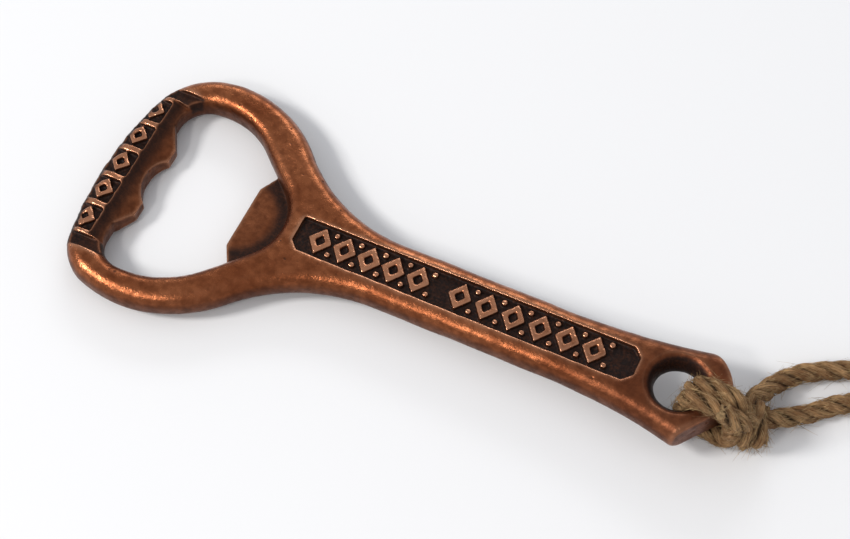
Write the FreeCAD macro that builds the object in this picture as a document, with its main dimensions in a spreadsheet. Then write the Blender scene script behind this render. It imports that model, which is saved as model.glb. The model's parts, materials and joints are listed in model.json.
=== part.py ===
"""Cast copper bottle opener with a loop of jute twine through its hanging hole.

Frame: millimetres, +Z up, origin on the surface under the middle of the casting,
+X along the handle towards the hanging hole. The casting lies head down on the
surface and its tail rests on the turns of twine, so it is tilted a little.
"""
import FreeCAD, Part

import math
import os

import Sketcher

V = FreeCAD.Vector
Z_AXIS = V(0, 0, 1)
RIGHT_ANGLE = math.pi / 2
TINY = 1e-4
RUN_SHARE = 0.45
FLOOR_GAP = 0.05

doc = FreeCAD.newDocument("bottle_opener")

# ---------------------------------------------------------------- driving dimensions
DIMENSIONS = [
    # casting: outline, far side at +Y and near side at -Y
    ("casting_thickness", 5.6, "thickness of the whole casting"),
    ("head_end", 56.1, "origin to the outer face of the crossbar"),
    ("bar_radius", 66.0, "gentle bow of the crossbar's outer face"),
    ("bar_offset", -1.6, "axis to the middle of that bow"),
    ("head_centre", 41.9, "origin to the centre of the round head"),
    ("far_head_radius", 23.1, "outside radius of the head, far side"),
    ("near_head_radius", 22.9, "outside radius of the head, near side"),
    ("far_head_corner", 13.0, "corner radius between crossbar and head, far side"),
    ("near_head_corner", 8.5, "corner radius between crossbar and head, near side"),
    ("far_neck_radius", 30.5, "concave blend from head to handle, far side"),
    ("near_neck_radius", 29.5, "concave blend from head to handle, near side"),
    ("far_half_width", 5.7, "axis to the straight side of the handle, far side"),
    ("near_half_width", 6.15, "axis to the straight side of the handle, near side"),
    ("flare_start", 27.0, "where the handle starts to widen"),
    ("far_flare_radius", 115.0, "bow of the widening side, far side"),
    ("near_flare_radius", 95.0, "bow of the widening side, near side"),
    ("hole_centre", 47.6, "origin to the axis of the hanging hole"),
    ("tail_radius", 8.6, "tail end, concentric with the hole"),
    ("far_tail_corner", 50.4, "origin to the tail's corner, far side"),
    ("near_tail_corner", 50.1, "origin to the tail's corner, near side"),
    ("tail_facet_end", -0.9, "axis to where the near side's flat end wall meets the round end"),
    ("edge_round", 2.5, "round on the long edges"),
    ("tail_round", 0.8, "round on the tail's end edges"),
    # casting: mouth that takes the crown cap
    ("mouth_bar", 49.0, "origin to the crossbar's inner face"),
    ("far_mouth_centre", 43.0, "origin to the centre of the mouth's far side"),
    ("far_mouth_offset", 2.4, "axis to the centre of the mouth's far side"),
    ("far_mouth_radius", 14.9, "radius of the mouth's far side"),
    ("near_mouth_centre", 43.2, "origin to the centre of the mouth's near side"),
    ("near_mouth_offset", -0.5, "axis to the centre of the mouth's near side"),
    ("near_mouth_radius", 17.2, "radius of the mouth's near side"),
    ("mouth_corner", 5.0, "corner radius beside the crossbar"),
    ("nose_centre", 32.3, "origin to the centre of the mouth's rounded end"),
    ("nose_radius", 9.5, "radius of the mouth's rounded end"),
    ("mouth_round", 2.2, "round on the mouth's edges"),
    # casting: lip that presses on the cap
    ("lip_edge", 30.1, "origin to the lip's working edge"),
    ("lip_half_width", 6.0, "half of the lip's straight edge"),
    ("lip_slant", 2.2, "how far the lip's slanted corners reach back"),
    ("lip_root", 20.6, "origin to where the lip is buried in the neck"),
    ("lip_root_half", 10.0, "half width of the buried root"),
    ("lip_thickness", 2.8, "thickness of the lip"),
    ("lip_lift", 0.4, "underside of the casting to the underside of the lip"),
    # casting: teeth that catch the cap's skirt
    ("tooth_tip", 47.0, "origin to the tooth tips"),
    ("tooth_offset", 5.8, "axis to each tooth tip"),
    ("tooth_flat", 1.3, "half width of a tooth's blunt end"),
    ("tooth_outer", 10.6, "axis to the foot of the tooth's outer flank"),
    ("scallop_depth", 1.8, "depth of the hollow between the teeth"),
    ("tooth_base", 52.0, "origin to where the teeth are buried in the bar"),
    ("tooth_lift", 0.9, "underside of the casting to the underside of the teeth"),
    ("slope_start", 51.4, "origin to the top of the slope down to the teeth"),
    ("slope_end", 46.3, "origin to the foot of that slope"),
    ("slope_foot", 2.6, "height of the slope's foot"),
    ("slope_width", 29.7, "width of the sloped part of the bar"),
    # casting: ornament
    ("panel_start", -19.8, "head end of the recessed panel"),
    ("panel_end", 40.6, "tail end of the recessed panel"),
    ("panel_half_width", 3.15, "half width of the panel"),
    ("panel_depth", 0.85, "depth of the panel"),
    ("panel_corner", 1.5, "cut corner and round corners of the panel"),
    ("motif_length", 4.2, "lozenge along the handle"),
    ("motif_width", 5.3, "lozenge across the handle"),
    ("motif_stroke", 0.95, "width of the raised outline"),
    ("motif_height", 0.75, "height of the raised outline"),
    ("pellet_radius", 0.5, "round pellets between the lozenges"),
    ("pellet_offset", 1.95, "axis to a pellet"),
    ("first_motif", -15.5, "first lozenge of the row of five"),
    ("first_pitch", 4.45, "spacing in the row of five"),
    ("second_motif", 9.8, "first lozenge of the row of six"),
    ("second_pitch", 4.7, "spacing in the row of six"),
    ("cell_depth", 0.8, "depth of the cells in the crossbar's top"),
    ("cell_inner", 51.2, "origin to the inner end of the cells"),
    ("cell_width", 4.8, "width of a cell between two ribs"),
    ("cell_pitch", 5.9, "spacing of the cells"),
    ("bar_motif", 53.35, "origin to the middle of the lozenge left standing in a cell"),
    ("bar_motif_length", 3.8, "that lozenge across the crossbar"),
    ("bar_motif_width", 4.2, "that lozenge along the crossbar"),
    ("bar_motif_stroke", 0.85, "width of its outline"),
    ("end_groove_width", 2.3, "width of the dark groove at each end of the bar"),
    ("end_groove_offset", 16.1, "axis to the middle of the end grooves"),
    # casting: hanging hole
    ("hole_waist", 3.8, "radius of the hole at mid thickness"),
    ("hole_rim", 5.6, "radius of the hole at the top face"),
    ("lower_rim", 6.1, "radius of the countersunk rim at the underside"),
    ("lower_rim_depth", 0.5, "depth of that countersink"),
    # resting attitude
    ("tail_tilt", 1.95, "degrees by which the tail is raised"),
    # twine
    ("twine_diameter", 3.2, "diameter of the three-ply twine"),
    ("turn_clearance", 0.3, "gap between the turns and the casting"),
    ("turn_inner", 0.95, "hole axis to the strands inside the hole"),
    ("turn_corner", 2.6, "corner radius of a turn's centre line"),
    ("turn_spacing", 3.3, "spacing of the two turns"),
    ("turn_direction", -5.0, "degrees from the handle's axis to the turns"),
    ("knot_x", 59.9, "origin to the middle of the knot, along X"),
    ("knot_y", 1.2, "origin to the middle of the knot, along Y"),
    ("knot_direction", 24.0, "degrees from X to the knot's short way"),
    ("knot_half_length", 2.9, "half the knot's size along its short way"),
    ("knot_half_width", 4.9, "half the knot's size across"),
    ("knot_half_height", 4.0, "half the knot's height"),
]

sheet = doc.addObject("Spreadsheet::Sheet", "dimensions")
for row, (alias, value, meaning) in enumerate(DIMENSIONS, start=1):
    sheet.set(f"A{row}", alias)
    sheet.set(f"B{row}", str(value))
    sheet.set(f"C{row}", meaning)
    sheet.setAlias(f"B{row}", alias)
doc.recompute()


def value(expression):
    """Number that a spreadsheet expression gives."""
    return float(sheet.evalExpression(expression))


def size(alias):
    """Value of one driving dimension."""
    return value("dimensions." + alias)


def plane_of(body, role):
    """One of a body's own origin planes."""
    return next(item for item in body.Origin.OriginFeatures if item.Role == role)


def new_sketch(body, name, role="XY_Plane", lift=None):
    """Sketch on a body's origin plane, lifted off it by a spreadsheet expression."""
    sketch = body.newObject("Sketcher::SketchObject", name)
    sketch.AttachmentSupport = (plane_of(body, role), [""])
    sketch.MapMode = "FlatFace"
    if lift:
        sketch.setExpression(".AttachmentOffset.Base.z", lift)
    return sketch


def bind(sketch, kind, arguments, expression):
    """Add one dimension to a sketch and bind it to the spreadsheet."""
    constraint = Sketcher.Constraint(kind, *arguments, value(expression))
    sketch.setExpression(f"Constraints[{sketch.addConstraint(constraint)}]", expression)


def pin(sketch, geometry, end, x_expression, y_expression):
    """Bind a point of a sketch to two signed distances from the origin."""
    bind(sketch, "DistanceX", (-1, 1, geometry, end), x_expression)
    bind(sketch, "DistanceY", (-1, 1, geometry, end), y_expression)


def bound_polygon(sketch, corners):
    """Closed polygon whose corners are each a pair of spreadsheet expressions."""
    points = [V(value(x), value(y), 0) for x, y in corners]
    first = len(sketch.Geometry)
    count = len(points)
    for i in range(count):
        sketch.addGeometry(Part.LineSegment(points[i], points[(i + 1) % count]))
    for i, (x_expression, y_expression) in enumerate(corners):
        sketch.addConstraint(Sketcher.Constraint("Coincident", first + i, 2, first + (i + 1) % count, 1))
        pin(sketch, first + i, 1, x_expression, y_expression)


def bound_rectangle(sketch, x_low, x_high, y_low, y_high):
    bound_polygon(sketch, [(x_low, y_low), (x_high, y_low), (x_high, y_high), (x_low, y_high)])


def bound_lozenge(sketch, centre_x, centre_y, length, width):
    """Lozenge with its corners on the two axes through its centre."""
    bound_polygon(sketch, [
        (f"{centre_x} + {length} / 2", centre_y),
        (centre_x, f"{centre_y} + {width} / 2"),
        (f"{centre_x} - {length} / 2", centre_y),
        (centre_x, f"{centre_y} - {width} / 2"),
    ])


def inset_lozenge(length, width, stroke):
    """Sizes of the lozenge inside an outline of even stroke, as expressions."""
    slant = f"2 * {stroke} * sqrt({length} ^ 2 + {width} ^ 2)"
    return f"({length} - {slant} / {width})", f"({width} - {slant} / {length})"


def arc(centre, radius, start, end):
    return Part.ArcOfCircle(Part.Circle(centre, Z_AXIS, radius), start, end)


def heading(start, end):
    """Direction from one point to another, as an angle."""
    return math.atan2(end.y - start.y, end.x - start.x)


def pad(body, sketch, name, length):
    feature = body.newObject("PartDesign::Pad", name)
    feature.Profile = sketch
    feature.setExpression("Length", length)
    return feature


def pocket(body, sketch, name, depth=None, both_ways=False):
    """Pocket that cuts down from a sketch on or above the top face, or both ways right through."""
    feature = body.newObject("PartDesign::Pocket", name)
    feature.Profile = sketch
    if depth:
        feature.setExpression("Length", depth)
    else:
        feature.Type = "ThroughAll"
    feature.Midplane = both_ways
    return feature


def round_edges(body, base, name, chosen, radius):
    """Fillet on the chosen edges of a feature."""
    doc.recompute()
    edges = [f"Edge{i}" for i, edge in enumerate(base.Shape.Edges, start=1) if chosen(edge)]
    feature = body.newObject("PartDesign::Fillet", name)
    feature.Base = (base, edges)
    feature.setExpression("Radius", radius)
    doc.recompute()
    return feature


def repeat(body, feature, name, axis_role, count, length):
    """Straight row of copies of a feature along one of the body's axes."""
    doc.recompute()
    row = body.newObject("PartDesign::LinearPattern", name)
    row.Originals = [feature]
    row.Direction = (plane_of(body, axis_role), [""])
    row.Occurrences = count
    row.setExpression("Length", length)
    body.Tip = row
    doc.recompute()
    return row


# ---------------------------------------------------------------- casting: outlines
SIDES = ((1, "far"), (-1, "near"))


def of_side(side, alias):
    """Value of a dimension that the far and the near side have each for themselves."""
    return size(f"{side}_{alias}")


def between_circles(first, first_radius, second, second_radius, sign):
    """Point at the given distances from two centres, on the far side (+1) or the near side (-1)."""
    gap = second - first
    along = (first_radius ** 2 - second_radius ** 2 + gap.Length ** 2) / (2 * gap.Length)
    across = sign * math.sqrt(first_radius ** 2 - along ** 2)
    towards = V(gap.x, gap.y, 0).normalize()
    return first + towards * along + V(-towards.y, towards.x, 0) * across


def side_arc_angles(sign, start, end):
    """Angles in the turning sense that a circle's arc needs, given from handle to crossbar."""
    return (start, end) if sign > 0 else (end, start)


def draw_outline(sketch):
    """Round head, bowed crossbar, concave neck and straight handle, tangent up to the widened tail."""
    bar = V(size("bar_radius") - size("head_end"), size("bar_offset"), 0)
    head = V(-size("head_centre"), 0, 0)
    hole = V(size("hole_centre"), 0, 0)
    corners = {}
    tail_corners = {}
    for sign, side in SIDES:
        corners[side] = between_circles(head, of_side(side, "head_radius") - of_side(side, "head_corner"),
                                        bar, size("bar_radius") - of_side(side, "head_corner"), sign)
        reach = of_side(side, "tail_corner") - size("flare_start")
        flare = of_side(side, "flare_radius")
        widened = of_side(side, "half_width") + flare - math.sqrt(flare ** 2 - reach ** 2)
        tail_corners[side] = V(of_side(side, "tail_corner"), sign * widened, 0)
    facet_reach = math.sqrt(size("tail_radius") ** 2 - size("tail_facet_end") ** 2)
    facet_end = V(hole.x + facet_reach, size("tail_facet_end"), 0)
    far_end = math.acos((tail_corners["far"].x - hole.x) / size("tail_radius"))
    far_end_point = hole + V(math.cos(far_end), math.sin(far_end), 0) * size("tail_radius")

    sketch.addGeometry(arc(bar, size("bar_radius"), heading(bar, corners["far"]),
                           2 * math.pi + heading(bar, corners["near"])))
    sketch.addGeometry(arc(hole, size("tail_radius"), heading(hole, facet_end), far_end))
    sketch.addGeometry(Part.LineSegment(facet_end, tail_corners["near"]))
    sketch.addConstraint(Sketcher.Constraint("Coincident", 1, 1, 2, 1))
    for sign, side in SIDES:
        half = sign * of_side(side, "half_width")
        neck_y = half + sign * of_side(side, "neck_radius")
        reach = of_side(side, "head_radius") + of_side(side, "neck_radius")
        neck = V(head.x + math.sqrt(reach ** 2 - neck_y ** 2), neck_y, 0)
        flare = V(size("flare_start"), half + sign * of_side(side, "flare_radius"), 0)
        last = far_end_point if sign > 0 else tail_corners[side]
        corner = corners[side]
        pieces = [
            (corner, of_side(side, "head_corner"), heading(head, corner), heading(bar, corner)),
            (head, of_side(side, "head_radius"), heading(head, neck), heading(head, corner)),
            (neck, of_side(side, "neck_radius"), heading(neck, head), -sign * RIGHT_ANGLE),
            (flare, of_side(side, "flare_radius"), -sign * RIGHT_ANGLE, heading(flare, last)),
        ]
        first = len(sketch.Geometry)
        for centre, radius, start, end in pieces[:3]:
            sketch.addGeometry(arc(centre, radius, *side_arc_angles(sign, start, end)))
        sketch.addGeometry(Part.LineSegment(V(neck.x, half, 0), V(flare.x, half, 0)))
        centre, radius, start, end = pieces[3]
        sketch.addGeometry(arc(centre, radius, *side_arc_angles(sign, start, end)))

        corner_arc, side_arc, neck_arc, line, flare_arc = range(first, first + 5)
        start, end = side_arc_angles(sign, 1, 2)
        join = [
            ("Tangent", 0, start, corner_arc, end),
            ("Tangent", corner_arc, start, side_arc, end),
            ("Tangent", side_arc, start, neck_arc, start),
            ("Tangent", neck_arc, end, line, 1),
            ("Tangent", line, 2, flare_arc, start),
            ("Coincident", flare_arc, end, *((1, 2) if sign > 0 else (2, 2))),
        ]
        for kind, *where in join:
            sketch.addConstraint(Sketcher.Constraint(kind, *where))
        bind(sketch, "Radius", (corner_arc,), f"dimensions.{side}_head_corner")
        bind(sketch, "Radius", (side_arc,), f"dimensions.{side}_head_radius")
        bind(sketch, "Radius", (neck_arc,), f"dimensions.{side}_neck_radius")
        bind(sketch, "Radius", (flare_arc,), f"dimensions.{side}_flare_radius")
        pin(sketch, side_arc, 3, "-dimensions.head_centre", "0")
        minus = "" if sign > 0 else "-"
        pin(sketch, line, 2, "dimensions.flare_start", f"{minus}dimensions.{side}_half_width")
    bind(sketch, "DistanceX", (-1, 1, 2, 2), "dimensions.near_tail_corner")
    bind(sketch, "DistanceY", (-1, 1, 1, 1), "dimensions.tail_facet_end")
    bind(sketch, "Radius", (0,), "dimensions.bar_radius")
    bind(sketch, "Radius", (1,), "dimensions.tail_radius")
    pin(sketch, 0, 3, "dimensions.bar_radius - dimensions.head_end", "dimensions.bar_offset")
    pin(sketch, 1, 3, "dimensions.hole_centre", "0")


def draw_mouth(sketch):
    """Round-sided opening that narrows to a rounded end inside the neck."""
    nose = V(-size("nose_centre"), 0, 0)
    corner_x = size("mouth_corner") - size("mouth_bar")

    def on_circle(middle, radius, angle):
        return V(middle.x + radius * math.cos(angle), middle.y + radius * math.sin(angle), 0)

    centres = {}
    for _, side in SIDES:
        centres[side] = V(-of_side(side, "mouth_centre"), of_side(side, "mouth_offset"), 0)
    corners = {}
    line_angles = {}
    for sign, side in SIDES:
        reach = of_side(side, "mouth_radius") - size("mouth_corner")
        centre = centres[side]
        corners[side] = V(corner_x, centre.y + sign * math.sqrt(reach ** 2 - (corner_x - centre.x) ** 2), 0)
        opening = math.acos((of_side(side, "mouth_radius") - size("nose_radius")) / (nose - centre).Length)
        line_angles[side] = heading(centre, nose) + sign * opening
    sketch.addGeometry(Part.LineSegment(V(-size("mouth_bar"), corners["far"].y, 0),
                                        V(-size("mouth_bar"), corners["near"].y, 0)))
    sketch.addGeometry(arc(nose, size("nose_radius"), line_angles["near"], line_angles["far"]))
    for sign, side in SIDES:
        centre, corner, angle = centres[side], corners[side], line_angles[side]
        radius = of_side(side, "mouth_radius")
        first = len(sketch.Geometry)
        corner_angles = side_arc_angles(sign, heading(centre, corner), sign * math.pi)
        sketch.addGeometry(arc(corner, size("mouth_corner"), *corner_angles))
        sketch.addGeometry(arc(centre, radius, *side_arc_angles(sign, angle, heading(centre, corner))))
        sketch.addGeometry(Part.LineSegment(on_circle(centre, radius, angle),
                                            on_circle(nose, size("nose_radius"), angle)))
        corner_arc, side_arc, line = range(first, first + 3)
        start, end = side_arc_angles(sign, 1, 2)
        join = [
            (0, start, corner_arc, end),
            (corner_arc, start, side_arc, end),
            (side_arc, start, line, 1),
            (line, 2, 1, end),
        ]
        for where in join:
            sketch.addConstraint(Sketcher.Constraint("Tangent", *where))
        bind(sketch, "Radius", (corner_arc,), "dimensions.mouth_corner")
        bind(sketch, "Radius", (side_arc,), f"dimensions.{side}_mouth_radius")
        pin(sketch, side_arc, 3, f"-dimensions.{side}_mouth_centre", f"dimensions.{side}_mouth_offset")
    bind(sketch, "Radius", (1,), "dimensions.nose_radius")
    pin(sketch, 1, 3, "-dimensions.nose_centre", "0")
    bind(sketch, "DistanceX", (-1, 1, 0, 1), "-dimensions.mouth_bar")


def draw_teeth(sketch):
    """Flank, blunt tip, round hollow, blunt tip, flank; the base is buried in the crossbar."""
    tip_inner = "(dimensions.tooth_offset - dimensions.tooth_flat)"
    tip_outer = "(dimensions.tooth_offset + dimensions.tooth_flat)"
    corners = [
        ("-dimensions.tooth_tip", tip_inner),
        ("-dimensions.tooth_tip", tip_outer),
        ("-dimensions.mouth_bar", "dimensions.tooth_outer"),
        ("-dimensions.tooth_base", "dimensions.tooth_outer"),
        ("-dimensions.tooth_base", "-dimensions.tooth_outer"),
        ("-dimensions.mouth_bar", "-dimensions.tooth_outer"),
        ("-dimensions.tooth_tip", "-" + tip_outer),
        ("-dimensions.tooth_tip", "-" + tip_inner),
    ]
    points = [V(value(x), value(y), 0) for x, y in corners]
    for i in range(len(points) - 1):
        sketch.addGeometry(Part.LineSegment(points[i], points[i + 1]))
        pin(sketch, i, 1, *corners[i])
        if i:
            sketch.addConstraint(Sketcher.Constraint("Coincident", i - 1, 2, i, 1))
    last = len(points) - 2
    pin(sketch, last, 2, *corners[-1])
    depth = size("scallop_depth")
    reach = value(tip_inner)
    radius = (reach ** 2 + depth ** 2) / (2 * depth)
    half_angle = math.asin(reach / radius)
    middle = V(radius - depth - size("tooth_tip"), 0, 0)
    scallop = sketch.addGeometry(arc(middle, radius, math.pi - half_angle, math.pi + half_angle))
    sketch.addConstraint(Sketcher.Constraint("Coincident", scallop, 1, 0, 1))
    sketch.addConstraint(Sketcher.Constraint("Coincident", scallop, 2, last, 2))
    bind(sketch, "Radius", (scallop,),
         f"({tip_inner} ^ 2 + dimensions.scallop_depth ^ 2) / (2 * dimensions.scallop_depth)")


def draw_bore(sketch):
    """Half section of the hourglass bore and its countersink, to be turned about the hole's axis."""
    rise = "(dimensions.hole_rim - dimensions.hole_waist)"
    half = "(dimensions.casting_thickness / 2)"
    waist_radius = f"(({rise} ^ 2 + {half} ^ 2) / (2 * {rise}))"
    axis_x = size("hole_centre")
    top = size("casting_thickness")
    low = size("lower_rim_depth")
    radius = value(waist_radius)
    middle = V(axis_x + size("hole_waist") + radius, top / 2, 0)
    upper_angle = math.asin(top / 2 / radius)
    lower_angle = math.asin((top / 2 - low) / radius)
    wall_low = V(middle.x - radius * math.cos(lower_angle), low, 0)
    corners = [V(axis_x, 0, 0), V(axis_x + size("lower_rim"), 0, 0), wall_low,
               V(axis_x + size("hole_rim"), top, 0), V(axis_x, top, 0)]
    sketch.addGeometry(Part.LineSegment(corners[0], corners[1]))
    sketch.addGeometry(Part.LineSegment(corners[1], corners[2]))
    sketch.addGeometry(arc(middle, radius, math.pi - upper_angle, math.pi + lower_angle))
    sketch.addGeometry(Part.LineSegment(corners[3], corners[4]))
    sketch.addGeometry(Part.LineSegment(corners[4], corners[0]))
    turning_axis = sketch.addGeometry(Part.LineSegment(V(axis_x, -1, 0), V(axis_x, top + 1, 0)), True)
    for joined in ((0, 2, 1, 1), (1, 2, 2, 2), (2, 1, 3, 1), (3, 2, 4, 1), (4, 2, 0, 1)):
        sketch.addConstraint(Sketcher.Constraint("Coincident", *joined))
    pin(sketch, 0, 1, "dimensions.hole_centre", "0")
    pin(sketch, 0, 2, "dimensions.hole_centre + dimensions.lower_rim", "0")
    pin(sketch, 3, 1, "dimensions.hole_centre + dimensions.hole_rim", "dimensions.casting_thickness")
    pin(sketch, 3, 2, "dimensions.hole_centre", "dimensions.casting_thickness")
    bind(sketch, "Radius", (2,), waist_radius)
    bind(sketch, "DistanceY", (-1, 1, 2, 3), half)
    bind(sketch, "DistanceY", (-1, 1, 2, 2), "dimensions.lower_rim_depth")
    pin(sketch, turning_axis, 1, "dimensions.hole_centre", "-1")
    pin(sketch, turning_axis, 2, "dimensions.hole_centre", "dimensions.casting_thickness + 1")


# ---------------------------------------------------------------- casting: features
casting = doc.addObject("PartDesign::Body", "opener_casting")
casting.Label = "opener_casting"

outline = new_sketch(casting, "outline")
draw_outline(outline)
blank = pad(casting, outline, "blank", "dimensions.casting_thickness")

mouth = new_sketch(casting, "mouth", lift="dimensions.casting_thickness")
draw_mouth(mouth)
mouth_cut = pocket(casting, mouth, "mouth_cut")


def lies_flat(edge):
    """True for an edge of the top or the bottom face."""
    box = edge.BoundBox
    return box.ZLength < TINY and (abs(box.ZMin) < TINY or abs(box.ZMin - size("casting_thickness")) < TINY)


def of_mouth(edge):
    """True for an edge that lies inside the head's round outline."""
    middle = edge.valueAt((edge.FirstParameter + edge.LastParameter) / 2)
    reach = (size("far_head_radius") + size("far_mouth_offset") + size("far_mouth_radius")) / 2
    beside_bar = abs(middle.x) < size("mouth_bar") + TINY
    return beside_bar and math.hypot(middle.x + size("head_centre"), middle.y) < reach


def of_tail(edge):
    """True for an edge of the tail's end wall."""
    middle = edge.valueAt((edge.FirstParameter + edge.LastParameter) / 2)
    return middle.x > size("far_tail_corner")


sides_rounded = round_edges(
    casting, mouth_cut, "sides_rounded",
    lambda edge: lies_flat(edge) and not of_mouth(edge) and not of_tail(edge), "dimensions.edge_round")
tail_rounded = round_edges(
    casting, sides_rounded, "tail_rounded",
    lambda edge: lies_flat(edge) and of_tail(edge), "dimensions.tail_round")
mouth_rounded = round_edges(casting, tail_rounded, "mouth_rounded",
                            lambda edge: lies_flat(edge) and of_mouth(edge), "dimensions.mouth_round")

# Half-moon lip at the handle end of the mouth, sunk below the top face.
lip_sketch = new_sketch(casting, "lip_sketch", lift="dimensions.lip_lift")
bound_polygon(lip_sketch, [
    ("-dimensions.lip_edge", "dimensions.lip_half_width"),
    ("-dimensions.lip_edge", "-dimensions.lip_half_width"),
    ("dimensions.lip_slant - dimensions.lip_edge", "-dimensions.lip_root_half"),
    ("-dimensions.lip_root", "-dimensions.lip_root_half"),
    ("-dimensions.lip_root", "dimensions.lip_root_half"),
    ("dimensions.lip_slant - dimensions.lip_edge", "dimensions.lip_root_half"),
])
pad(casting, lip_sketch, "lip", "dimensions.lip_thickness")

# Two blunt teeth on the crossbar with a hollow between them.
teeth_sketch = new_sketch(casting, "teeth_sketch", lift="dimensions.tooth_lift")
draw_teeth(teeth_sketch)
pad(casting, teeth_sketch, "teeth", "dimensions.casting_thickness - dimensions.tooth_lift")

# The crossbar's inner half slopes down to the teeth. The side-view sketch sees +X and +Z.
slope_sketch = new_sketch(casting, "slope_sketch", role="XZ_Plane")
bound_polygon(slope_sketch, [
    ("-dimensions.slope_start", "dimensions.casting_thickness"),
    ("-dimensions.slope_end", "dimensions.slope_foot"),
    ("-dimensions.slope_end", "2 * dimensions.casting_thickness"),
    ("-dimensions.slope_start", "2 * dimensions.casting_thickness"),
])
pocket(casting, slope_sketch, "slope", "dimensions.slope_width", both_ways=True)

# A row of cells sunk in the crossbar's top leaves ribs between them and a lozenge outline standing in each.
cell_sketch = new_sketch(casting, "cell_sketch", lift="dimensions.casting_thickness")
bar_motif = ("dimensions.bar_motif_length", "dimensions.bar_motif_width")
for step in (-2, -1, 0, 1, 2):
    middle = f"{step} * dimensions.cell_pitch"
    bound_rectangle(cell_sketch, "-dimensions.head_end - 1", "-dimensions.cell_inner",
                    f"{middle} - dimensions.cell_width / 2", f"{middle} + dimensions.cell_width / 2")
    bound_lozenge(cell_sketch, "-dimensions.bar_motif", middle, *bar_motif)
    bound_lozenge(cell_sketch, "-dimensions.bar_motif", middle,
                  *inset_lozenge(*bar_motif, "dimensions.bar_motif_stroke"))
pocket(casting, cell_sketch, "cells", "dimensions.cell_depth")

# A wider groove closes the row at each end.
end_groove_sketch = new_sketch(casting, "end_groove_sketch", lift="dimensions.casting_thickness")
for minus in ("", "-"):
    middle = f"{minus}dimensions.end_groove_offset"
    half_groove = "dimensions.end_groove_width / 2"
    bound_rectangle(end_groove_sketch, "-dimensions.head_end - 1", "-dimensions.slope_end",
                    f"{middle} - {half_groove}", f"{middle} + {half_groove}")
pocket(casting, end_groove_sketch, "end_grooves", "dimensions.cell_depth")

# Recessed panel along the handle, with one cut corner at the head end and round-looking corners at the tail.
panel_sketch = new_sketch(casting, "panel_sketch", lift="dimensions.casting_thickness")
bound_polygon(panel_sketch, [
    ("dimensions.panel_start", "dimensions.panel_half_width"),
    ("dimensions.panel_start", "dimensions.panel_corner - dimensions.panel_half_width"),
    ("dimensions.panel_start + dimensions.panel_corner", "-dimensions.panel_half_width"),
    ("dimensions.panel_end - dimensions.panel_corner", "-dimensions.panel_half_width"),
    ("dimensions.panel_end", "dimensions.panel_corner - dimensions.panel_half_width"),
    ("dimensions.panel_end", "dimensions.panel_half_width - dimensions.panel_corner"),
    ("dimensions.panel_end - dimensions.panel_corner", "dimensions.panel_half_width"),
])
pocket(casting, panel_sketch, "panel", "dimensions.panel_depth")

# Raised lozenge outlines in the panel, with two pellets after each: a row of five, a gap, and a row of six.
motif = ("dimensions.motif_length", "dimensions.motif_width")
for row_name, count in (("first", 5), ("second", 6)):
    motif_sketch = new_sketch(casting, f"{row_name}_motif_sketch",
                              lift="dimensions.casting_thickness - dimensions.panel_depth")
    centre = f"dimensions.{row_name}_motif"
    bound_lozenge(motif_sketch, centre, "0", *motif)
    bound_lozenge(motif_sketch, centre, "0", *inset_lozenge(*motif, "dimensions.motif_stroke"))
    for minus in ("", "-"):
        pellet_x = f"({centre} + dimensions.{row_name}_pitch / 2)"
        pellet_y = f"{minus}dimensions.pellet_offset"
        middle = V(value(pellet_x), value(pellet_y), 0)
        pellet = motif_sketch.addGeometry(Part.Circle(middle, Z_AXIS, size("pellet_radius")))
        bind(motif_sketch, "Radius", (pellet,), "dimensions.pellet_radius")
        pin(motif_sketch, pellet, 3, pellet_x, pellet_y)
    raised = pad(casting, motif_sketch, f"{row_name}_motif", "dimensions.motif_height")
    row_length = f"{count - 1} * dimensions.{row_name}_pitch"
    repeat(casting, raised, f"{row_name}_row", "X_Axis", count, row_length)

# Hanging hole: hourglass bore, widest at both faces.
bore_sketch = new_sketch(casting, "bore_sketch", role="XZ_Plane")
draw_bore(bore_sketch)
bore = casting.newObject("PartDesign::Groove", "hanging_hole")
bore.Profile = bore_sketch
bore.ReferenceAxis = (bore_sketch, ["Axis0"])
bore.Angle = 360
casting.Tip = bore
doc.recompute()

# The casting stands on its head and on the twine under its tail.
tilt = FreeCAD.Rotation(V(0, 1, 0), -size("tail_tilt"))
casting.Placement = FreeCAD.Placement(V(0, 0, 0), tilt)
lying = casting.Shape.optimalBoundingBox()
casting.Placement = FreeCAD.Placement(V(-lying.Center.x, -lying.Center.y, -lying.ZMin), tilt)


def on_casting(x, y, z):
    """Place of a point of the level casting once it lies tilted."""
    return casting.Placement.multVec(V(x, y, z))


# ---------------------------------------------------------------- twine
def smooth_path(points, closed=False):
    """Straight runs joined by arcs as large as both runs allow; returns the wire and the arc radii."""
    count = len(points)
    edges = []
    radii = []
    bends = range(count) if closed else range(1, count - 1)
    bounds = {}
    for i in bends:
        before, here, after = points[i - 1], points[i], points[(i + 1) % count]
        run_in, run_out = here - before, after - here
        half_turn = run_in.getAngle(run_out) / 2
        setback = RUN_SHARE * min(run_in.Length, run_out.Length)
        radii.append(setback / math.tan(half_turn))
        start = here - run_in.normalize() * setback
        end = here + run_out.normalize() * setback
        towards_centre = (run_out - run_in).normalize()
        sagitta = radii[-1] * (1 / math.cos(half_turn) - 1)
        bounds[i] = (start, here + towards_centre * sagitta, end)
    for i in bends:
        start, middle, end = bounds[i]
        if i == 0 and closed:
            previous_end = bounds[count - 1][2]
        elif i > 1 or closed:
            previous_end = bounds[i - 1][2]
        else:
            previous_end = points[0]
        edges.append(Part.LineSegment(previous_end, start).toShape())
        edges.append(Part.Arc(start, middle, end).toShape())
    if not closed:
        edges.append(Part.LineSegment(bounds[count - 2][2], points[-1]).toShape())
    return Part.Wire(edges), radii


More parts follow.
